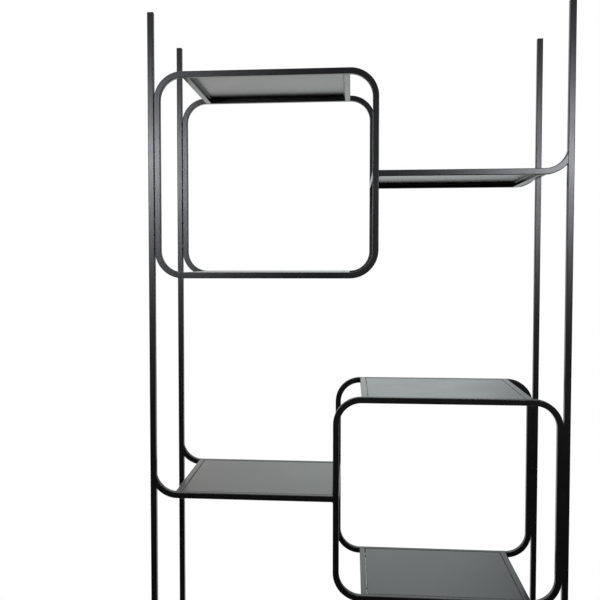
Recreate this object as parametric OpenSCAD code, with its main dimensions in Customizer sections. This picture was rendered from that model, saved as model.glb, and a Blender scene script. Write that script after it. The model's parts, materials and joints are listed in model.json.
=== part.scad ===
// Zigzag bookshelf of black square steel tube, standing on levelling feet.
// Four posts carry three levels. Each level has one rounded box, made of a front and a rear
// loop, along one pair of posts, and one open shelf that runs on from the middle of the loops
// to the other pair of posts. The sides change over from level to level.
// X runs along the width, the front looks towards -Y, Z is up and the floor is at zero.

/* [Overall] */
// Width over the four posts
overall_w = 862; // [800:1:960]
// Depth over the front and rear frames
overall_d = 315; // [240:1:400]
// Space between the floor and the lowest loop
leg_clearance = 56; // [40:1:160]
// Rise of the posts above the highest loop
post_rise = 122; // [20:1:300]

/* [Tube] */
// Width of the square tube
tube = 12.7; // [11:0.1:15]
// Wall of the tube
tube_wall = 1.2; // [1:0.1:1.6]
// Radius of the tube's long edges outside
tube_edge_r = 1.5; // [1:0.1:2]
// Radius of the tube's long edges inside
tube_inner_r = 0.5; // [0.3:0.1:0.9]
// Radius of every bend along the middle of the tube
bend_r = 52.5; // [40:0.5:64]

/* [Loops] */
// Width of a loop over its tubes
loop_w = 464; // [400:1:500]
// Height of a loop over its tubes
loop_h = 428; // [360:1:480]
// Narrow seam between a post and the side of a loop
seam = 0.3; // [0.2:0.1:1]

/* [Levels] */
// Rise from one level to the next
level_rise = 672; // [600:1:720]

/* [Shelves] */
// Distance from a post's outer face to the shelf's crossbar
shelf_bar_inset = 51.6; // [45:0.1:80]
// How far a rail's bend aims past the middle of the post that it is coped to
rail_aim = 1.5; // [0.5:0.1:3]
// Thickness of the sheet steel trays
sheet = 1.2; // [0.8:0.1:1.4]
// Height of a tray's folded edge
flange_h = 4.5; // [4:0.1:7]
// Radius outside the fold of a tray
fold_r = 2; // [1:0.1:2.4]
// Gap between a tray and the tubes round it
tray_gap = 0.5; // [0.1:0.1:1.5]
// Drop of a tray's top below the top of the tubes
tray_drop = 0.4; // [0:0.1:2]

/* [Post caps] */
// Height of the plate on top of a cap
cap_plate_h = 2; // [1:0.1:4]
// Chamfer round the plate
cap_chamfer = 0.6; // [0.2:0.1:0.9]
// Length of the ribbed plug in the tube
cap_plug_h = 14; // [8:1:25]

/* [Feet] */
// Diameter of a foot's pad
pad_d = 18; // [16:1:30]
// Height of the pad
pad_h = 7; // [5:0.5:12]
// Height of the nut that is fixed to the stud
nut_h = 4; // [3:0.5:6]
// Width of the nut across its corners
nut_d = 11; // [9:0.5:14]
// Diameter of the threaded stud
stud_d = 6; // [5:0.5:6]
// Length of stud that shows between nut and socket
stud_show = 3; // [1:0.5:8]
// Length of stud inside the socket
stud_in = 16; // [8:1:18]
// Height of the socket's collar under the post
collar_h = 2; // [1:0.5:4]
// Length of the socket's plug in the tube
socket_plug_h = 22; // [20:1:40]

/* [Welds] */
// Radius of a tack weld in the seam beside a post
tack_r = 1.8; // [1.6:0.1:2.4]
// Radius of a tack weld under a tray
tray_tack_r = 1.4; // [1:0.1:2]
// Length of a tack weld
tack_len = 8; // [6:0.5:12]
// Height of a tack weld above the tube's face
tack_proud = 0.7; // [0.4:0.1:1]
// Distance of the outer tacks from the ends of the loop's straight side
tack_inset = 12; // [8:1:40]

/* [Hidden] */
$fn = 48;

tube_colour = [0.09, 0.09, 0.10];
tray_colour = [0.30, 0.31, 0.31];
plastic_colour = [0.05, 0.05, 0.05];
zinc_colour = [0.70, 0.71, 0.73];
weld_colour = [0.14, 0.14, 0.15];

left = -1;
right = 1;
front = -1;
rear = 1;
lower = 0;
middle = 1;
upper = 2;
half_turn = 180;

// One overrun serves every cut
cut = tube / 4;

// Sizes of the tube and its bends
tube_in = tube - 2 * tube_wall;
bend_outer_r = bend_r + tube / 2;

// Heights of the frame
loop_levels = 3;
overall_h = leg_clearance + (loop_levels - 1) * level_rise + loop_h + post_rise;
post_base = pad_h + nut_h + stud_show + collar_h;
post_h = overall_h - cap_plate_h - post_base;
function level_z(n) = leg_clearance + loop_h / 2 + n * level_rise;

// Middles of the posts and frames
post_x = (overall_w - tube) / 2;
frame_y = (overall_d - tube) / 2;
crossbar_len = overall_d - 2 * tube;

// A level is drawn with its loops on the left and turned round for the other way
loop_x = -overall_w / 2 + tube + seam + loop_w / 2;
loop_side_x = loop_w / 2 - tube / 2;
loop_bar_x = loop_w / 2 - bend_outer_r - tube / 2;
roof_z = loop_h / 2 - tube / 2;
straight_w = loop_w - 2 * bend_outer_r;
straight_h = loop_h - 2 * bend_outer_r;

// The shelf's rails start at the loop and bend up into the far post
rail_start_x = loop_x + loop_w / 2;
rail_bend_x = post_x + rail_aim - bend_r;
rail_straight = rail_bend_x - rail_start_x;
shelf_butt_bar_x = rail_start_x - tube / 2;
shelf_end_bar_x = overall_w / 2 - shelf_bar_inset - tube / 2;

// Trays fill the frames between crossbars and rails
loop_tray_len = 2 * loop_bar_x - tube - 2 * tray_gap;
shelf_tray_len = shelf_end_bar_x - shelf_butt_bar_x - tube - 2 * tray_gap;
shelf_tray_x = (shelf_end_bar_x + shelf_butt_bar_x) / 2;
tray_depth = crossbar_len - 2 * tray_gap;
tray_top = tube / 2 - tray_drop;

// The edge of a tray is folded flat against itself, which makes a hem of two sheets
hem_w = 2 * sheet;
hem_edge_share = 0.85;
hem_edge_r = hem_edge_share * sheet;

// Plugs of caps and sockets
plug_gap = 0.1;
fin_size = tube_in - 2 * plug_gap;
fin_depth = 0.5;
fin_h = 1;
fin_pitch = 3;
plug_core = fin_size - 2 * fin_depth;

// Feet
thread_gap = 0.08;
spigot_h = 4;
spigot_gap = 0.05;
pad_edge_r = 1;
nut_land = 0.5;
pad_top_d = nut_d + 2 * nut_land;
pad_rim_h = 3;

// Places of the tray's tack welds along a crossbar, as shares of the tray's depth
tray_tack_shares = [-0.35, 0.35];

// Square with rounded corners, in the plane
module rounded_square(size, r) {
    square([size - 2 * r, size], center = true);
    square([size, size - 2 * r], center = true);
    for (sx = [-1, 1], sy = [-1, 1])
        translate([sx * (size / 2 - r), sy * (size / 2 - r)])
            circle(r);
}

// Hollow section that every tube is made of
module tube_section() {
    difference() {
        rounded_square(tube, tube_edge_r);
        rounded_square(tube_in, tube_inner_r);
    }
}

// Straight tube along X, Y or Z, about the origin
module tube_along_x(len) {
    rotate([0, 90, 0])
        linear_extrude(height = len, center = true)
            tube_section();
}

module tube_along_y(len) {
    rotate([90, 0, 0])
        linear_extrude(height = len, center = true)
            tube_section();
}

// Quarter bend about the origin, that begins at the given angle
module tube_bend(from) {
    rotate([0, 0, from])
        rotate_extrude(angle = 90, $fn = 2 * $fn)
            translate([bend_r, 0])
                tube_section();
}

// Closed ring of one bent tube, lying flat about the origin
module tube_ring() {
    for (s = [-1, 1]) {
        translate([0, s * roof_z, 0])
            tube_along_x(straight_w);
        translate([s * loop_side_x, 0, 0])
            tube_along_y(straight_h);
    }
    translate([straight_w / 2, straight_h / 2, 0]) tube_bend(0);
    translate([-straight_w / 2, straight_h / 2, 0]) tube_bend(90);
    translate([-straight_w / 2, -straight_h / 2, 0]) tube_bend(180);
    translate([straight_w / 2, -straight_h / 2, 0]) tube_bend(270);
}

// Rail of a shelf, lying flat, with its bent end cut to the face of the post
module coped_rail() {
    difference() {
        union() {
            translate([rail_start_x + rail_straight / 2, 0, 0])
                tube_along_x(rail_straight);
            translate([rail_bend_x, bend_r, 0])
                tube_bend(270);
        }
        translate([post_x - tube / 2, -tube, -tube])
            cube([tube + cut, bend_r + 2 * tube, 2 * tube]);
    }
}

// Level number n, with its loops on the left when n is even, and turned round when it is odd
module at_level(n) {
    translate([0, 0, level_z(n)])
        rotate([0, 0, n % 2 * half_turn])
            children();
}

// Stands a flat shape up in the front or rear frame of level number n
module in_frame(n, face) {
    translate([0, (n % 2 == 0 ? face : -face) * frame_y, 0])
        rotate([90, 0, 0])
            children();
}

module loop(n, face) {
    color(tube_colour)
        at_level(n)
            in_frame(n, face)
                translate([loop_x, 0, 0])
                    tube_ring();
}

module shelf_rail(n, face) {
    color(tube_colour)
        at_level(n)
            in_frame(n, face)
                coped_rail();
}

// Crossbars of a loop's roof or floor, one where each bend begins
module loop_crossbars(n, z) {
    color(tube_colour)
        at_level(n)
            for (s = [-1, 1])
                translate([loop_x + s * loop_bar_x, 0, z])
                    tube_along_y(crossbar_len);
}

// Crossbars of a shelf, one between the loops' sides and one near the far post
module shelf_crossbars(n) {
    color(tube_colour)
        at_level(n)
            for (x = [shelf_butt_bar_x, shelf_end_bar_x])
                translate([x, 0, 0])
                    tube_along_y(crossbar_len);
}

// Outline of a tray across its width, folded at the top and round where the hem turns in
module tray_outline(width) {
    translate([-width / 2, -flange_h + hem_edge_r])
        square([width, flange_h - hem_edge_r - fold_r]);
    translate([-width / 2 + fold_r, -fold_r])
        square([width - 2 * fold_r, fold_r]);
    translate([-width / 2 + hem_edge_r, -flange_h])
        square([width - 2 * hem_edge_r, hem_edge_r]);
    for (s = [-1, 1]) {
        translate([s * (width / 2 - fold_r), -fold_r])
            circle(fold_r);
        translate([s * (width / 2 - hem_edge_r), -flange_h + hem_edge_r])
            circle(hem_edge_r);
    }
}

// Outline of the hollow under a tray, inside the hem, with a rounded mouth
module hollow_outline(width) {
    hollow_w = width - 2 * hem_w;
    translate([-hollow_w / 2, -flange_h - cut])
        square([hollow_w, flange_h + cut - sheet]);
    difference() {
        translate([-hollow_w / 2 - hem_edge_r, -flange_h - cut])
            square([hollow_w + 2 * hem_edge_r, cut + hem_edge_r]);
        for (s = [-1, 1])
            translate([s * (hollow_w / 2 + hem_edge_r), -flange_h + hem_edge_r])
                circle(hem_edge_r);
    }
}

// Solid of a tray's size that has one outline along X and another along Y
module crossed_outlines(len) {
    intersection() {
        rotate([90, 0, 0])
            linear_extrude(height = tray_depth, center = true)
                children(0);
        rotate([90, 0, 90])
            linear_extrude(height = len, center = true)
                children(1);
    }
}

// Sheet steel tray with its top at zero, folded down all round and hemmed
module folded_tray(len) {
    difference() {
        crossed_outlines(len) {
            tray_outline(len);
            tray_outline(tray_depth);
        }
        crossed_outlines(len) {
            hollow_outline(len);
            hollow_outline(tray_depth);
        }
    }
}

module loop_tray(n, z) {
    color(tray_colour)
        at_level(n)
            translate([loop_x, 0, z + tray_top])
                folded_tray(loop_tray_len);
}

module shelf_tray(n) {
    color(tray_colour)
        at_level(n)
            translate([shelf_tray_x, 0, tray_top])
                folded_tray(shelf_tray_len);
}

module post(side, face) {
    color(tube_colour)
        translate([side * post_x, face * frame_y, post_base])
            linear_extrude(height = post_h)
                tube_section();
}

// Repeats a piece at the four posts
module at_posts() {
    for (side = [left, right], face = [front, rear])
        translate([side * post_x, face * frame_y, 0])
            children();
}

// Ribbed plug that grips the inside of a tube, from zero upwards
module ribbed_plug(height) {
    translate([-plug_core / 2, -plug_core / 2, 0])
        cube([plug_core, plug_core, height]);
    for (z = [fin_pitch : fin_pitch : height])
        translate([0, 0, z - fin_h])
            linear_extrude(height = fin_h)
                rounded_square(fin_size, tube_inner_r);
}

// Cap with a chamfered plate, seated on the end of the tube
module post_cap() {
    difference() {
        linear_extrude(height = cap_plate_h)
            rounded_square(tube, tube_edge_r);
        for (turn = [0 : 90 : 270])
            rotate([0, 0, turn])
                translate([tube / 2 - cap_chamfer, -tube, cap_plate_h])
                    rotate([0, 45, 0])
                        cube([tube, 2 * tube, tube]);
    }
    mirror([0, 0, 1])
        ribbed_plug(cap_plug_h);
}

module post_caps() {
    color(plastic_colour)
        at_posts()
            translate([0, 0, overall_h - cap_plate_h])
                post_cap();
}

// Socket with a threaded bore, pressed into the lower end of a post
module foot_socket() {
    difference() {
        union() {
            translate([0, 0, -collar_h])
                linear_extrude(height = collar_h)
                    rounded_square(tube, tube_edge_r);
            ribbed_plug(socket_plug_h);
        }
        translate([0, 0, -collar_h - cut])
            cylinder(d = stud_d + 2 * thread_gap, h = collar_h + socket_plug_h + 2 * cut);
    }
}

module foot_sockets() {
    color(plastic_colour)
        at_posts()
            translate([0, 0, post_base])
                foot_socket();
}

// Threaded stud with its fixed nut, and a spigot that holds the pad
module foot_stud(side, face) {
    color(zinc_colour)
        translate([side * post_x, face * frame_y, pad_h]) {
            cylinder(d = nut_d, h = nut_h, $fn = 6);
            translate([0, 0, -spigot_h])
                cylinder(d = stud_d, h = spigot_h + nut_h + stud_show + collar_h + stud_in);
        }
}

// Half outline of the pad, turned about its axis
module pad_outline() {
    square([pad_d / 2 - pad_edge_r, pad_rim_h]);
    translate([0, pad_edge_r])
        square([pad_d / 2, pad_rim_h - pad_edge_r]);
    translate([pad_d / 2 - pad_edge_r, pad_edge_r])
        circle(pad_edge_r);
    polygon([[0, pad_rim_h], [pad_d / 2, pad_rim_h], [pad_top_d / 2, pad_h], [0, pad_h]]);
}

module foot_pad(side, face) {
    color(plastic_colour)
        translate([side * post_x, face * frame_y, 0])
            difference() {
                rotate_extrude()
                    pad_outline();
                translate([0, 0, pad_h - spigot_h - spigot_gap])
                    cylinder(d = stud_d + 2 * spigot_gap, h = spigot_h + cut);
            }
}

// Bead along Z with round ends
module bead(r) {
    cylinder(r = r, h = tack_len - 2 * r, center = true);
    for (s = [-1, 1])
        translate([0, 0, s * (tack_len / 2 - r)])
            sphere(r);
}

// Tacks in the groove between each post and the loop beside it, on the faces that look inwards
module loop_tack_welds() {
    color(weld_colour)
        for (n = [lower, middle, upper])
            at_level(n)
                for (face = [front, rear])
                    for (z = [-1, 0, 1] * (straight_h / 2 - tack_inset))
                        translate([-post_x, face * frame_y, z])
                            groove_tack(face);
}

module groove_tack(face) {
    difference() {
        translate([tube / 2 + seam / 2, -face * (tube / 2 + tack_proud - tack_r), 0])
            bead(tack_r);
        for (x = [0, tube + seam])
            translate([x, 0, 0])
                linear_extrude(height = 2 * tack_len, center = true)
                    rounded_square(tube, tube_edge_r);
    }
}

// Tacks in the groove between a crossbar and the hem of the tray beside it, seen from below
module tray_tack_welds() {
    color(weld_colour)
        for (n = [lower, middle, upper])
            at_level(n) {
                translate([loop_x, 0, roof_z + tray_top])
                    tray_tacks(loop_tray_len);
                translate([loop_x, 0, -roof_z + tray_top])
                    tray_tacks(loop_tray_len);
                translate([shelf_tray_x, 0, tray_top])
                    tray_tacks(shelf_tray_len);
            }
}

module tray_tacks(len) {
    for (side = [left, right], share = tray_tack_shares)
        translate([0, share * tray_depth, 0])
            difference() {
                translate([side * (len / 2 + tray_gap), 0, -flange_h])
                    rotate([90, 0, 0])
                        bead(tray_tack_r);
                translate([side * (len / 2 + tray_gap + tube / 2) - tube / 2, -tack_len, -tube])
                    cube([tube, 2 * tack_len, 2 * tube]);
                rotate([90, 0, 0])
                    linear_extrude(height = 2 * tack_len, center = true)
                        tray_outline(len);
            }
}

module front_left_post() { post(left, front); }
module front_right_post() { post(right, front); }
module rear_left_post() { post(left, rear); }
module rear_right_post() { post(right, rear); }

module front_left_foot_stud() { foot_stud(left, front); }
module front_right_foot_stud() { foot_stud(right, front); }
module rear_left_foot_stud() { foot_stud(left, rear); }
module rear_right_foot_stud() { foot_stud(right, rear); }

module front_left_foot_pad() { foot_pad(left, front); }
module front_right_foot_pad() { foot_pad(right, front); }
module rear_left_foot_pad() { foot_pad(left, rear); }
module rear_right_foot_pad() { foot_pad(right, rear); }

module upper_front_loop() { loop(upper, front); }
module upper_rear_loop() { loop(upper, rear); }
module upper_roof_crossbars() { loop_crossbars(upper, roof_z); }
module upper_floor_crossbars() { loop_crossbars(upper, -roof_z); }
module upper_roof_tray() { loop_tray(upper, roof_z); }
module upper_floor_tray() { loop_tray(upper, -roof_z); }
module upper_shelf_front_rail() { shelf_rail(upper, front); }
module upper_shelf_rear_rail() { shelf_rail(upper, rear); }
module upper_shelf_crossbars() { shelf_crossbars(upper); }
module upper_shelf_tray() { shelf_tray(upper); }

module middle_front_loop() { loop(middle, front); }
module middle_rear_loop() { loop(middle, rear); }
module middle_roof_crossbars() { loop_crossbars(middle, roof_z); }
module middle_floor_crossbars() { loop_crossbars(middle, -roof_z); }
module middle_roof_tray() { loop_tray(middle, roof_z); }
module middle_floor_tray() { loop_tray(middle, -roof_z); }
module middle_shelf_front_rail() { shelf_rail(middle, front); }
module middle_shelf_rear_rail() { shelf_rail(middle, rear); }
module middle_shelf_crossbars() { shelf_crossbars(middle); }
module middle_shelf_tray() { shelf_tray(middle); }

module lower_front_loop() { loop(lower, front); }
module lower_rear_loop() { loop(lower, rear); }
module lower_roof_crossbars() { loop_crossbars(lower, roof_z); }
module lower_floor_crossbars() { loop_crossbars(lower, -roof_z); }
module lower_roof_tray() { loop_tray(lower, roof_z); }
module lower_floor_tray() { loop_tray(lower, -roof_z); }
module lower_shelf_front_rail() { shelf_rail(lower, front); }
module lower_shelf_rear_rail() { shelf_rail(lower, rear); }
module lower_shelf_crossbars() { shelf_crossbars(lower); }
module lower_shelf_tray() { shelf_tray(lower); }

front_left_post();
front_right_post();
rear_left_post();
rear_right_post();
post_caps();
foot_sockets();
front_left_foot_stud();
front_right_foot_stud();
rear_left_foot_stud();
rear_right_foot_stud();
front_left_foot_pad();
front_right_foot_pad();
rear_left_foot_pad();
rear_right_foot_pad();
upper_front_loop();
upper_rear_loop();
upper_roof_crossbars();
upper_floor_crossbars();
upper_roof_tray();
upper_floor_tray();
upper_shelf_front_rail();
upper_shelf_rear_rail();
upper_shelf_crossbars();
upper_shelf_tray();
middle_front_loop();
middle_rear_loop();
middle_roof_crossbars();
middle_floor_crossbars();
middle_roof_tray();
middle_floor_tray();
middle_shelf_front_rail();
middle_shelf_rear_rail();
middle_shelf_crossbars();
middle_shelf_tray();
lower_front_loop();
lower_rear_loop();
lower_roof_crossbars();
lower_floor_crossbars();
lower_roof_tray();
lower_floor_tray();
lower_shelf_front_rail();
lower_shelf_rear_rail();
lower_shelf_crossbars();
lower_shelf_tray();
loop_tack_welds();
tray_tack_welds();
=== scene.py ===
"""Zigzag bookshelf of black satin steel tube: finishes, fine detail, studio and camera round the frame."""

import json
import math

import bmesh
import bpy
from mathutils import Matrix, Vector


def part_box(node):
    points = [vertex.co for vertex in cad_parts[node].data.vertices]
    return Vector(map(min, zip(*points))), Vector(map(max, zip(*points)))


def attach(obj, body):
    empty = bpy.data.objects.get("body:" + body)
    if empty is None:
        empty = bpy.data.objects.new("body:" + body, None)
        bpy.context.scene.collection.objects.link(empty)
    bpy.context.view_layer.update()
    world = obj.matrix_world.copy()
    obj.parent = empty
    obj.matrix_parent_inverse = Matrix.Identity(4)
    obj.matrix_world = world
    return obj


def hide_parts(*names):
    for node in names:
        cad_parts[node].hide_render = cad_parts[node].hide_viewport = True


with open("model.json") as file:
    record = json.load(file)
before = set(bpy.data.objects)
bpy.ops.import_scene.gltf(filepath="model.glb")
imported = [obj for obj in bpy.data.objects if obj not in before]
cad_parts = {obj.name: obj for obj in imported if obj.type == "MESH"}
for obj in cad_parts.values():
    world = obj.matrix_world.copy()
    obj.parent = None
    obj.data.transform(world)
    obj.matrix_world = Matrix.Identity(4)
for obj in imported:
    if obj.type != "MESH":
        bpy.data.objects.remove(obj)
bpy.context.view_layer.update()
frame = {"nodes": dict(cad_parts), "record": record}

MM = 0.001
WHITE = (1.0, 1.0, 1.0)

# Camera, worked out from the photograph: focal length and optical axis in its pixels, angles in radians
IMAGE_W = 600
FOCAL_PX = 862.6
AXIS_PX = 265.0
CAMERA_AT = (-0.0084, -1.9304, 1.4371)
CAMERA_YAW = -0.10017
CAMERA_PITCH = 0.04573
CAMERA_ROLL = -0.00138
SENSOR_MM = 36.0
CAMERA_REACH = 60.0

# Powder coat, with the spread of its gloss and tint from patch to patch. Noise scales are per metre
COAT_COLOUR = (0.0026, 0.0025, 0.0023)
COAT_IOR = 1.5
FRAME_ROUGHNESS = 0.31
TRAY_ROUGHNESS = 0.23
PATCH_SCALE = 9.0
PATCH_LOW = 0.3
PATCH_HIGH = 0.7
GLOSS_SPREAD = 0.08
TINT_SPREAD = 0.15
PEEL_HEIGHT = 0.05 * MM

# Moulded plastic and zinc plate
PLASTIC_COLOUR = (0.012, 0.012, 0.012)
PLASTIC_IOR = 1.47
PLASTIC_ROUGHNESS = (0.48, 0.62)
PLASTIC_GRAIN_SCALE = 2500.0
PLASTIC_GRAIN_RELIEF = 0.4
PLASTIC_GRAIN_HEIGHT = 0.04 * MM
ZINC_DARK = (0.50, 0.50, 0.51)
ZINC_LIGHT = (0.70, 0.70, 0.69)
ZINC_ROUGHNESS = (0.26, 0.42)
ZINC_CLOUD_SCALE = 220.0

# Studio, as linear colours: what the object mirrors behind it, in the room in front, beside and above
BACKDROP_LEFT = (0.82, 0.81, 0.79)
BACKDROP_MIDDLE = (0.92, 1.00, 0.99)
BACKDROP_RIGHT = (0.42, 0.45, 0.46)
ROOM_LOW = (0.022, 0.021, 0.017)
ROOM_HIGH = (0.038, 0.055, 0.100)
ROOM_UPPER = (0.052, 0.053, 0.056)
ROOM_SIDE = (0.36, 0.37, 0.38)
ROOM_ABOVE = (0.42, 0.42, 0.42)

# Where one of those colours passes into the next, as spans of a component of the ray's direction
LEFT_TO_MIDDLE_X = (-0.25, 0.05)
MIDDLE_TO_RIGHT_X = (0.10, 0.24)
LOW_TO_HIGH_Z = (-0.15, 0.20)
HIGH_TO_UPPER_Z = (0.18, 0.32)
LEFT_SIDE_X = (-0.80, -0.55)
RIGHT_SIDE_X = (0.55, 0.80)
ABOVE_Z = (0.45, 0.75)
BEHIND_Y = (0.45, 0.80)

# Floor, in metres: its edges, where its grey fades into white, and where its mirrored white begins
FLOOR_W = 9.0
FLOOR_FRONT = -1.6
FLOOR_BACK = 7.0
FLOOR_FADE = (0.9, 1.5)
FLOOR_MIRROR_Y = (-0.5, 0.5)
FLOOR_COLOUR = (0.80, 0.80, 0.80)
FLOOR_LIFT = 0.30
FLOOR_DIM_LEVEL = 0.04

# Lamps, in metres. The softboxes face inward, to a share of their own distance from the middle
SOFTBOX_XS = {"left_softbox": -0.92, "right_softbox": 0.86}
SOFTBOX_Y = -1.93
SOFTBOX_Z = 1.834
SOFTBOX_AIM_SHARE = 0.4
SOFTBOX_AIM_Z = 1.6
SOFTBOX_W = 0.46
SOFTBOX_H = 0.31
SOFTBOX_RADIANCE = 27.3
SOFTBOX_TINT = (0.98, 0.99, 1.06)
TOP_LIGHT_AT = (0.0, 0.3, 3.6)
TOP_LIGHT_W = 2.6
TOP_LIGHT_D = 2.0
TOP_LIGHT_RADIANCE = 2.0

# Added meshes: the edge angle that stays sharp, and how near two points of a CAD mesh are the same one
SHARP_ANGLE = math.radians(35.0)
MERGE_DISTANCE = 0.01 * MM

# Rounding of the tubes' edges, as in the part's source
TUBE_EDGE = 1.5 * MM

# Fillet welds. Shares are of the bead's leg
BEAD_LEG = 1.8 * MM
BEAD_RIPPLE = 1.3 * MM
BEAD_RIPPLE_SHARE = 0.035
BEAD_ROOT_SHARE = 0.2
BEAD_BULGE_SHARE = 0.16
BEAD_END_SHARE = 0.3
BEAD_STEPS_PER_RIPPLE = 6
BEAD_ARC_STEPS = 6

# Tack welds in the seams between posts and loops
TACK_CROWN = 0.22 * MM
TACK_SINK = 0.05 * MM
TACK_END_SHARE = 0.45
TACK_STEPS = 28
TACK_ARC_STEPS = 10

# M6 studs of the feet, with their nuts. The spigot's radius and the nut's height are the part's
STUD_R = 3.0 * MM
STUD_SIDES = 48
THREAD_ROOT_R = 2.46 * MM
THREAD_PITCH = 1.0 * MM
THREAD_FLAT = 0.1
THREAD_LEAD_IN = 0.8 * MM
THREAD_ROWS_PER_TURN = 8
NUT_H = 4.0 * MM
NUT_CHAMFER_SHARE = 0.97
NUT_CHAMFER_ANGLE = math.radians(30.0)
NUT_SIDE_ANGLE = math.tau / 6


def rgba(colour):
    """A colour with full cover, as Blender's colour sockets take it."""
    return (*colour, 1.0)


def node_tree(owner):
    """An empty node tree of a material or world, with two helpers: one adds nodes and one links them."""
    owner.use_nodes = True
    tree = owner.node_tree
    tree.nodes.clear()

    def add(kind, **inputs):
        node = tree.nodes.new(kind)
        for name, value in inputs.items():
            node.inputs[name.replace("_", " ")].default_value = value
        return node

    def link(source, output, target, socket):
        tree.links.new(source.outputs[output], target.inputs[socket])

    return add, link


def powder_coat(name, roughness, grain, relief):
    """Satin powder coat: near black, with a fine orange peel and patches of slightly duller gloss."""
    material = bpy.data.materials.new(name)
    add, link = node_tree(material)
    output = add("ShaderNodeOutputMaterial")
    shader = add("ShaderNodeBsdfPrincipled", IOR=COAT_IOR)
    link(shader, "BSDF", output, "Surface")
    place = add("ShaderNodeTexCoord")

    patches = add("ShaderNodeTexNoise", Scale=PATCH_SCALE, Detail=3.0, Roughness=0.55)
    link(place, "Object", patches, "Vector")
    gloss = add("ShaderNodeMapRange",
                From_Min=PATCH_LOW, From_Max=PATCH_HIGH,
                To_Min=roughness * (1.0 - GLOSS_SPREAD), To_Max=roughness * (1.0 + GLOSS_SPREAD))
    link(patches, "Fac", gloss, "Value")
    link(gloss, "Result", shader, "Roughness")

    tint = add("ShaderNodeMapRange", To_Min=1.0 - TINT_SPREAD, To_Max=1.0 + TINT_SPREAD)
    link(patches, "Fac", tint, "Value")
    shade = add("ShaderNodeVectorMath")
    shade.operation = "SCALE"
    shade.inputs[0].default_value = COAT_COLOUR
    link(tint, "Result", shade, "Scale")
    link(shade, "Vector", shader, "Base Color")

    peel = add("ShaderNodeTexNoise", Scale=grain, Detail=2.0, Roughness=0.5)
    link(place, "Object", peel, "Vector")
    bump = add("ShaderNodeBump", Strength=relief, Distance=PEEL_HEIGHT)
    link(peel, "Fac", bump, "Height")
    link(bump, "Normal", shader, "Normal")
    return material


def moulded_plastic(name):
    """Black moulded plastic with a fine spark-eroded grain."""
    material = bpy.data.materials.new(name)
    add, link = node_tree(material)
    output = add("ShaderNodeOutputMaterial")
    shader = add("ShaderNodeBsdfPrincipled", IOR=PLASTIC_IOR, Base_Color=rgba(PLASTIC_COLOUR))
    link(shader, "BSDF", output, "Surface")
    place = add("ShaderNodeTexCoord")
    grain = add("ShaderNodeTexNoise", Scale=PLASTIC_GRAIN_SCALE, Detail=3.0, Roughness=0.6)
    link(place, "Object", grain, "Vector")
    bump = add("ShaderNodeBump", Strength=PLASTIC_GRAIN_RELIEF, Distance=PLASTIC_GRAIN_HEIGHT)
    link(grain, "Fac", bump, "Height")
    link(bump, "Normal", shader, "Normal")
    dull = add("ShaderNodeMapRange", To_Min=PLASTIC_ROUGHNESS[0], To_Max=PLASTIC_ROUGHNESS[1])
    link(grain, "Fac", dull, "Value")
    link(dull, "Result", shader, "Roughness")
    return material


def zinc_plate(name):
    """Zinc plated steel with cloudy patches of duller gloss."""
    material = bpy.data.materials.new(name)
    add, link = node_tree(material)
    output = add("ShaderNodeOutputMaterial")
    shader = add("ShaderNodeBsdfPrincipled", Metallic=1.0)
    link(shader, "BSDF", output, "Surface")
    place = add("ShaderNodeTexCoord")
    clouds = add("ShaderNodeTexNoise", Scale=ZINC_CLOUD_SCALE, Detail=4.0, Roughness=0.6)
    link(place, "Object", clouds, "Vector")
    ramp = add("ShaderNodeValToRGB")
    ramp.color_ramp.elements[0].color = rgba(ZINC_DARK)
    ramp.color_ramp.elements[1].color = rgba(ZINC_LIGHT)
    link(clouds, "Fac", ramp, "Fac")
    link(ramp, "Color", shader, "Base Color")
    dull = add("ShaderNodeMapRange", To_Min=ZINC_ROUGHNESS[0], To_Max=ZINC_ROUGHNESS[1])
    link(clouds, "Fac", dull, "Value")
    link(dull, "Result", shader, "Roughness")
    return material


def dress(material, names):
    """Gives CAD nodes a material."""
    for name in names:
        node = frame["nodes"][name]
        node.data.materials.clear()
        node.data.materials.append(material)


def loft(bm, rings):
    """Closed skin over rings of equally many points, with a flat cap at both ends."""
    rows = [[bm.verts.new(point) for point in ring] for ring in rings]
    count = len(rows[0])
    for low, high in zip(rows, rows[1:]):
        for i in range(count):
            j = (i + 1) % count
            bm.faces.new((low[i], low[j], high[j], high[i]))
    bm.faces.new(reversed(rows[0]))
    bm.faces.new(rows[-1])


def finish_piece(name, bm, material, body):
    """Turns a built mesh into a piece that rides on a body and takes a finish."""
    bmesh.ops.recalc_face_normals(bm, faces=bm.faces)
    for face in bm.faces:
        face.smooth = True
    mesh = bpy.data.meshes.new(name)
    bm.to_mesh(mesh)
    bm.free()
    mesh.set_sharp_from_angle(angle=SHARP_ANGLE)
    mesh.materials.append(material)
    piece = bpy.data.objects.new(name, mesh)
    bpy.context.scene.collection.objects.link(piece)
    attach(piece, body)
    return piece


def rippled(along):
    """Swelling of a weld bead at a distance along it, from the ripples of its laying."""
    return 1.0 + BEAD_RIPPLE_SHARE * math.sin(math.tau * along / BEAD_RIPPLE)


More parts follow.
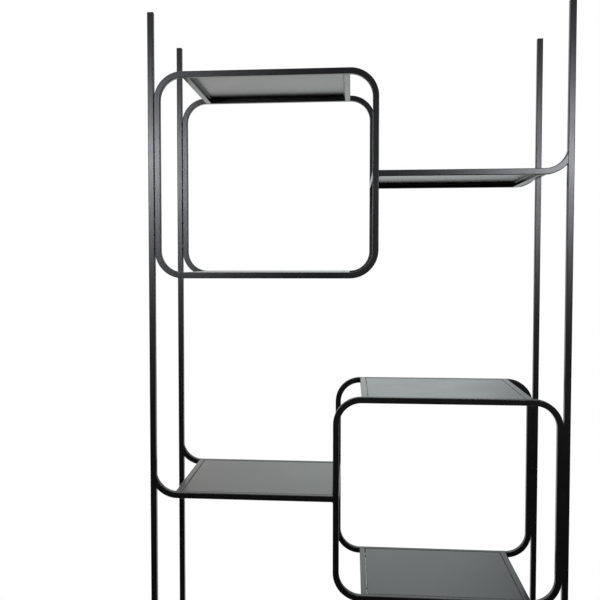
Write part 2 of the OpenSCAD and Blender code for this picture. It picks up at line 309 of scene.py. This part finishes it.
def fillet_bead(bm, start, end, along_a, along_b):
    """Convex weld bead in the corner of two faces, rippled and with rounded ends."""
    start, end = Vector(start), Vector(end)
    along_a, along_b = Vector(along_a), Vector(along_b)
    length = (end - start).length
    steps = round(length / BEAD_RIPPLE * BEAD_STEPS_PER_RIPPLE)
    rings = []
    for step in range(steps + 1):
        share = step / steps
        to_end = min(share, 1.0 - share) * length / BEAD_LEG
        leg = BEAD_LEG * rippled(share * length) * math.sqrt(min(1.0, BEAD_END_SHARE + to_end))
        corner = start.lerp(end, share)
        ring = [corner - BEAD_ROOT_SHARE * leg * (along_a + along_b)]
        for i in range(BEAD_ARC_STEPS + 1):
            t = i / BEAD_ARC_STEPS
            bulge = BEAD_BULGE_SHARE * leg * math.sin(math.pi * t)
            ring.append(corner + along_a * (leg * (1.0 - t) + bulge) + along_b * (leg * t + bulge))
        rings.append(ring)
    loft(bm, rings)


def level_fillets(level, material):
    """Weld beads of one level: crossbars to loops or rails, and the rails' undersides to the loops."""
    bm = bmesh.new()
    shelf_low, shelf_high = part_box(f"{level}_shelf_crossbars")
    shelf_at_right = shelf_low.x + shelf_high.x > 0.0
    outward = {"roof": (-1, 1), "floor": (-1, 1), "shelf": (1,) if shelf_at_right else (-1,)}
    for place, sides in outward.items():
        low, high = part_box(f"{level}_{place}_crossbars")
        bottom, top = low.z + TUBE_EDGE, high.z - TUBE_EDGE
        for side in sides:
            x = high.x if side > 0 else low.x
            for y, inward in ((low.y, 1), (high.y, -1)):
                fillet_bead(bm, (x, y, bottom), (x, y, top), (side, 0, 0), (0, inward, 0))
    for face in ("front", "rear"):
        low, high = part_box(f"{level}_shelf_{face}_rail")
        near, far = low.y + TUBE_EDGE, high.y - TUBE_EDGE
        x, away = (low.x, 1) if shelf_at_right else (high.x, -1)
        fillet_bead(bm, (x, near, low.z), (x, far, low.z), (0, 0, -1), (away, 0, 0))
    finish_piece(f"{level}_fillet_welds", bm, material, "root")


def solid_boxes(node):
    """Lowest and highest corners of each separate solid of a CAD node."""
    bm = bmesh.new()
    bm.from_mesh(frame["nodes"][node].data)
    bmesh.ops.remove_doubles(bm, verts=bm.verts, dist=MERGE_DISTANCE)
    unseen = set(bm.verts)
    boxes = []
    while unseen:
        group = [unseen.pop()]
        for vert in group:
            for edge in vert.link_edges:
                other = edge.other_vert(vert)
                if other in unseen:
                    unseen.remove(other)
                    group.append(other)
        spans = [[vert.co[axis] for vert in group] for axis in range(3)]
        boxes.append([tuple(map(min, spans)), tuple(map(max, spans))])
    bm.free()
    return sorted(boxes)


def groove_depth(offset, seam_w):
    """Depth of the groove between two tubes' rounded edges, at an offset from the middle of their seam."""
    from_edge = max(0.0, TUBE_EDGE - max(0.0, offset - seam_w / 2))
    return TUBE_EDGE - math.sqrt(TUBE_EDGE ** 2 - from_edge ** 2)


def seam_tacks(node, material):
    """Tack welds between posts and loops: low crowns in the groove, tapered into it at both ends."""
    seam_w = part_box("upper_rear_loop")[0].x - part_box("rear_left_post")[1].x
    front_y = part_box("upper_front_loop")[1].y
    rear_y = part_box("upper_rear_loop")[0].y
    bm = bmesh.new()
    for low, high in solid_boxes(node):
        middle_x = (low[0] + high[0]) / 2
        half_w = (high[0] - low[0]) / 2
        face_y, outward = (rear_y, -1) if low[1] > 0.0 else (front_y, 1)
        rings = []
        for step in range(TACK_STEPS + 1):
            share = step / TACK_STEPS
            z = low[2] + (high[2] - low[2]) * share
            swell = math.sqrt(max(0.0, 1.0 - (2.0 * share - 1.0) ** 2))
            width = half_w * (TACK_END_SHARE + (1.0 - TACK_END_SHARE) * swell)
            toe = -groove_depth(width, seam_w) - TACK_SINK
            crown = toe + (TACK_CROWN * rippled(z - low[2]) - toe) * swell
            ring = [(middle_x, face_y - outward * TUBE_EDGE, z)]
            for i in range(TACK_ARC_STEPS + 1):
                u = 2.0 * i / TACK_ARC_STEPS - 1.0
                proud = toe + (crown - toe) * (1.0 - u * u)
                ring.append((middle_x + u * width, face_y + outward * proud, z))
            rings.append(ring)
        loft(bm, rings)
    piece = finish_piece("seam_tack_beads", bm, material, "root")
    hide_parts(node)


def threaded_stud(foot, material):
    """Foot stud with its rolled thread and the chamfered hexagon of its fixed nut."""
    node = f"{foot}_foot_stud"
    low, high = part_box(node)
    nut_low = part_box(f"{foot}_foot_pad")[1].z
    nut_high = nut_low + NUT_H
    axis_x, axis_y = (low.x + high.x) / 2, (low.y + high.y) / 2
    flat_r = (high.x - low.x) / 2 * math.cos(NUT_SIDE_ANGLE / 2)
    chamfer_r = NUT_CHAMFER_SHARE * flat_r
    angles = [math.tau * i / STUD_SIDES for i in range(STUD_SIDES)]

    def ring(radius, height):
        """Ring round the stud's axis. Its radius and height are functions of the angle."""
        points = []
        for angle in angles:
            r = radius(angle)
            points.append((axis_x + r * math.cos(angle), axis_y + r * math.sin(angle), height(angle)))
        return points

    def same(value):
        """The same value at every angle."""
        return lambda angle: value

    def hexagon(angle):
        """Radius of the nut, whose corners lie along X."""
        return flat_r / math.cos((angle % NUT_SIDE_ANGLE) - NUT_SIDE_ANGLE / 2)

    def chamfer(angle):
        """Height of the nut's chamfer, which cuts deepest at the corners."""
        return (hexagon(angle) - chamfer_r) * math.tan(NUT_CHAMFER_ANGLE)

    rings = [ring(same(STUD_R), same(low.z)),
             ring(same(STUD_R), same(nut_low)),
             ring(same(chamfer_r), same(nut_low)),
             ring(hexagon, lambda angle: nut_low + chamfer(angle)),
             ring(hexagon, lambda angle: nut_high - chamfer(angle)),
             ring(same(chamfer_r), same(nut_high)),
             ring(same(THREAD_ROOT_R), same(nut_high))]
    rows = round((high.z - nut_high) / THREAD_PITCH * THREAD_ROWS_PER_TURN)
    for row in range(1, rows + 1):
        z = nut_high + (high.z - nut_high) * row / rows
        tip_r = STUD_R - max(0.0, z - (high.z - THREAD_LEAD_IN))

        def thread(angle, z=z, tip_r=tip_r):
            """Radius of the right-hand thread at a height, within the lead-in of the stud's end."""
            crest = abs(2.0 * ((z / THREAD_PITCH - angle / math.tau) % 1.0) - 1.0)
            rise = min(1.0, max(0.0, (crest - THREAD_FLAT) / (1.0 - 2.0 * THREAD_FLAT)))
            return min(tip_r, THREAD_ROOT_R + rise * (STUD_R - THREAD_ROOT_R))

        rings.append(ring(thread, same(z)))
    bm = bmesh.new()
    loft(bm, rings)
    piece = finish_piece(f"{foot}_threaded_stud", bm, material, f"{foot}_foot")
    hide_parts(node)


def make_camera():
    """Camera at the photograph's place, with the optical axis where the photograph has it."""
    data = bpy.data.cameras.new("photo_camera")
    data.sensor_width = SENSOR_MM
    data.lens = FOCAL_PX / IMAGE_W * SENSOR_MM
    data.shift_x = (IMAGE_W / 2 - AXIS_PX) / IMAGE_W
    data.clip_end = CAMERA_REACH
    camera = bpy.data.objects.new("photo_camera", data)
    bpy.context.scene.collection.objects.link(camera)
    ahead = Vector((math.sin(CAMERA_YAW) * math.cos(CAMERA_PITCH),
                    math.cos(CAMERA_YAW) * math.cos(CAMERA_PITCH),
                    -math.sin(CAMERA_PITCH)))
    level_right = Vector((math.cos(CAMERA_YAW), -math.sin(CAMERA_YAW), 0.0))
    level_up = level_right.cross(ahead)
    right = math.cos(CAMERA_ROLL) * level_right + math.sin(CAMERA_ROLL) * level_up
    up = math.cos(CAMERA_ROLL) * level_up - math.sin(CAMERA_ROLL) * level_right
    turn = Matrix((right, up, -ahead)).transposed().to_4x4()
    camera.matrix_world = Matrix.Translation(CAMERA_AT) @ turn
    bpy.context.scene.camera = camera


def smooth_step(add, link, source, output, span):
    """A map range node that rises smoothly from 0 to 1 over a span of another node's output."""
    step = add("ShaderNodeMapRange")
    step.interpolation_type = "SMOOTHSTEP"
    step.inputs["From Min"].default_value = span[0]
    step.inputs["From Max"].default_value = span[1]
    link(source, output, step, "Value")
    return step


def combine(add, link, operation, first, second):
    """A math node of two outputs, each given as a node and the output's name. It gives Value."""
    node = add("ShaderNodeMath")
    node.operation = operation
    link(*first, node, 0)
    link(*second, node, 1)
    return node


def choose_shader(add, link, share, before, after):
    """A shader that runs from one to the other by a share. All three are a node and its output's name."""
    mix = add("ShaderNodeMixShader")
    link(*share, mix, 0)
    link(*before, mix, 1)
    link(*after, mix, 2)
    return mix


def make_world():
    """White for the camera and through glass. Mirrored, a pale backdrop behind and a dim room in front."""
    world = bpy.data.worlds.new("studio")
    bpy.context.scene.world = world
    add, link = node_tree(world)
    output = add("ShaderNodeOutputWorld")
    place = add("ShaderNodeTexCoord")
    axes = add("ShaderNodeSeparateXYZ")
    link(place, "Generated", axes, "Vector")

    def blend(axis, span, before, after):
        """Colour that runs from one to the other along an axis. Each is a colour or a node."""
        step = smooth_step(add, link, axes, axis, span)
        mix = add("ShaderNodeMixRGB")
        link(step, "Result", mix, "Fac")
        for socket, colour in (("Color1", before), ("Color2", after)):
            if isinstance(colour, tuple):
                mix.inputs[socket].default_value = rgba(colour)
            else:
                link(colour, "Color", mix, socket)
        return mix

    middle = blend("X", LEFT_TO_MIDDLE_X, BACKDROP_LEFT, BACKDROP_MIDDLE)
    backdrop = blend("X", MIDDLE_TO_RIGHT_X, middle, BACKDROP_RIGHT)
    lower_room = blend("Z", LOW_TO_HIGH_Z, ROOM_LOW, ROOM_HIGH)
    room = blend("Z", HIGH_TO_UPPER_Z, lower_room, ROOM_UPPER)
    to_left = blend("X", LEFT_SIDE_X, ROOM_SIDE, room)
    to_right = blend("X", RIGHT_SIDE_X, to_left, ROOM_SIDE)
    above = blend("Z", ABOVE_Z, to_right, ROOM_ABOVE)
    around = blend("Y", BEHIND_Y, above, backdrop)
    studio = add("ShaderNodeBackground", Strength=1.0)
    link(around, "Color", studio, "Color")
    white = add("ShaderNodeBackground", Color=rgba(WHITE), Strength=1.0)
    rays = add("ShaderNodeLightPath")
    straight = combine(add, link, "MAXIMUM", (rays, "Is Camera Ray"), (rays, "Is Transmission Ray"))
    seen = choose_shader(add, link, (straight, "Value"), (studio, "Background"), (white, "Background"))
    link(seen, "Shader", output, "Surface")


def make_floor():
    """Pale floor that keeps the shadow near the object and runs out into white."""
    mesh = bpy.data.meshes.new("studio_floor")
    left, right = -FLOOR_W / 2, FLOOR_W / 2
    corners = [(left, FLOOR_FRONT, 0.0), (right, FLOOR_FRONT, 0.0),
               (right, FLOOR_BACK, 0.0), (left, FLOOR_BACK, 0.0)]
    mesh.from_pydata(corners, [], [(0, 1, 2, 3)])
    floor = bpy.data.objects.new("studio_floor", mesh)
    bpy.context.scene.collection.objects.link(floor)

    material = bpy.data.materials.new("studio_floor")
    mesh.materials.append(material)
    add, link = node_tree(material)
    output = add("ShaderNodeOutputMaterial")
    place = add("ShaderNodeNewGeometry")
    reach = add("ShaderNodeVectorMath")
    reach.operation = "LENGTH"
    link(place, "Position", reach, 0)
    far = smooth_step(add, link, reach, "Value", FLOOR_FADE)
    matt = add("ShaderNodeBsdfDiffuse", Color=rgba(FLOOR_COLOUR))
    lift = add("ShaderNodeEmission", Color=rgba(WHITE), Strength=FLOOR_LIFT)
    near = add("ShaderNodeAddShader")
    link(matt, "BSDF", near, 0)
    link(lift, "Emission", near, 1)
    white = add("ShaderNodeEmission", Color=rgba(WHITE), Strength=1.0)
    seen = choose_shader(add, link, (far, "Result"), (near, "Shader"), (white, "Emission"))

    rays = add("ShaderNodeLightPath")
    depth = add("ShaderNodeSeparateXYZ")
    link(place, "Position", depth, "Vector")
    behind = smooth_step(add, link, depth, "Y", FLOOR_MIRROR_Y)
    mirrored = combine(add, link, "MULTIPLY", (rays, "Is Glossy Ray"), (behind, "Result"))
    straight = combine(add, link, "MAXIMUM", (rays, "Is Camera Ray"), (mirrored, "Value"))
    through = combine(add, link, "MAXIMUM", (straight, "Value"), (rays, "Is Transmission Ray"))
    dim = add("ShaderNodeEmission", Color=rgba(WHITE), Strength=FLOOR_DIM_LEVEL)
    unseen = choose_shader(add, link, (rays, "Is Glossy Ray"), (matt, "BSDF"), (dim, "Emission"))
    surface = choose_shader(add, link, (through, "Value"), (unseen, "Shader"), (seen, "Shader"))
    link(surface, "Shader", output, "Surface")


def area_lamp(name, at, target, width, height, radiance, colour=WHITE):
    """Rectangular softbox that faces a target. Its power follows from its size and radiance."""
    data = bpy.data.lights.new(name, "AREA")
    data.shape = "RECTANGLE"
    data.size = width
    data.size_y = height
    data.energy = radiance * math.pi * width * height
    data.color = colour
    lamp = bpy.data.objects.new(name, data)
    bpy.context.scene.collection.objects.link(lamp)
    aim = Vector(target) - Vector(at)
    lamp.matrix_world = Matrix.Translation(at) @ aim.to_track_quat("-Z", "Y").to_matrix().to_4x4()


def make_lamps():
    """Two equal softboxes beside the camera and a large soft top light."""
    for name, x in SOFTBOX_XS.items():
        at = (x, SOFTBOX_Y, SOFTBOX_Z)
        target = (SOFTBOX_AIM_SHARE * x, 0.0, SOFTBOX_AIM_Z)
        area_lamp(name, at, target, SOFTBOX_W, SOFTBOX_H, SOFTBOX_RADIANCE, SOFTBOX_TINT)
    area_lamp("top_light", TOP_LIGHT_AT, (0.0, 0.0, 0.0), TOP_LIGHT_W, TOP_LIGHT_D, TOP_LIGHT_RADIANCE)


def make_finishes():
    """One material for each finish slot of the record."""
    return {
        "frame_black": powder_coat("frame_powder_coat", FRAME_ROUGHNESS, grain=1400.0, relief=0.12),
        "tray_black": powder_coat("tray_powder_coat", TRAY_ROUGHNESS, grain=1200.0, relief=0.05),
        "weld_black": powder_coat("weld_powder_coat", FRAME_ROUGHNESS, grain=900.0, relief=0.3),
        "black_plastic": moulded_plastic("moulded_black"),
        "zinc_steel": zinc_plate("zinc_plate"),
    }


def dress_frame(finishes):
    """Dresses every CAD node in its slot's finish, and the crossbars in a smoother coat than the loops."""
    slot_of = {part["node"]: part["material_slot"] for part in frame["record"]["subparts"]}
    for slot, material in finishes.items():
        dress(material, [node for node, used in slot_of.items() if used == slot])
    crossbar_coat = powder_coat("crossbar_powder_coat", TRAY_ROUGHNESS, grain=1400.0, relief=0.08)
    dress(crossbar_coat, [node for node in slot_of if node.endswith("_crossbars")])


finishes = make_finishes()
dress_frame(finishes)
for level in ("upper", "middle", "lower"):
    level_fillets(level, finishes["weld_black"])
seam_tacks("loop_tack_welds", finishes["weld_black"])
for foot in ("front_left", "front_right", "rear_left", "rear_right"):
    threaded_stud(foot, finishes["zinc_steel"])

make_camera()
make_world()
make_floor()
make_lamps()
bpy.context.scene.view_settings.view_transform = "Standard"
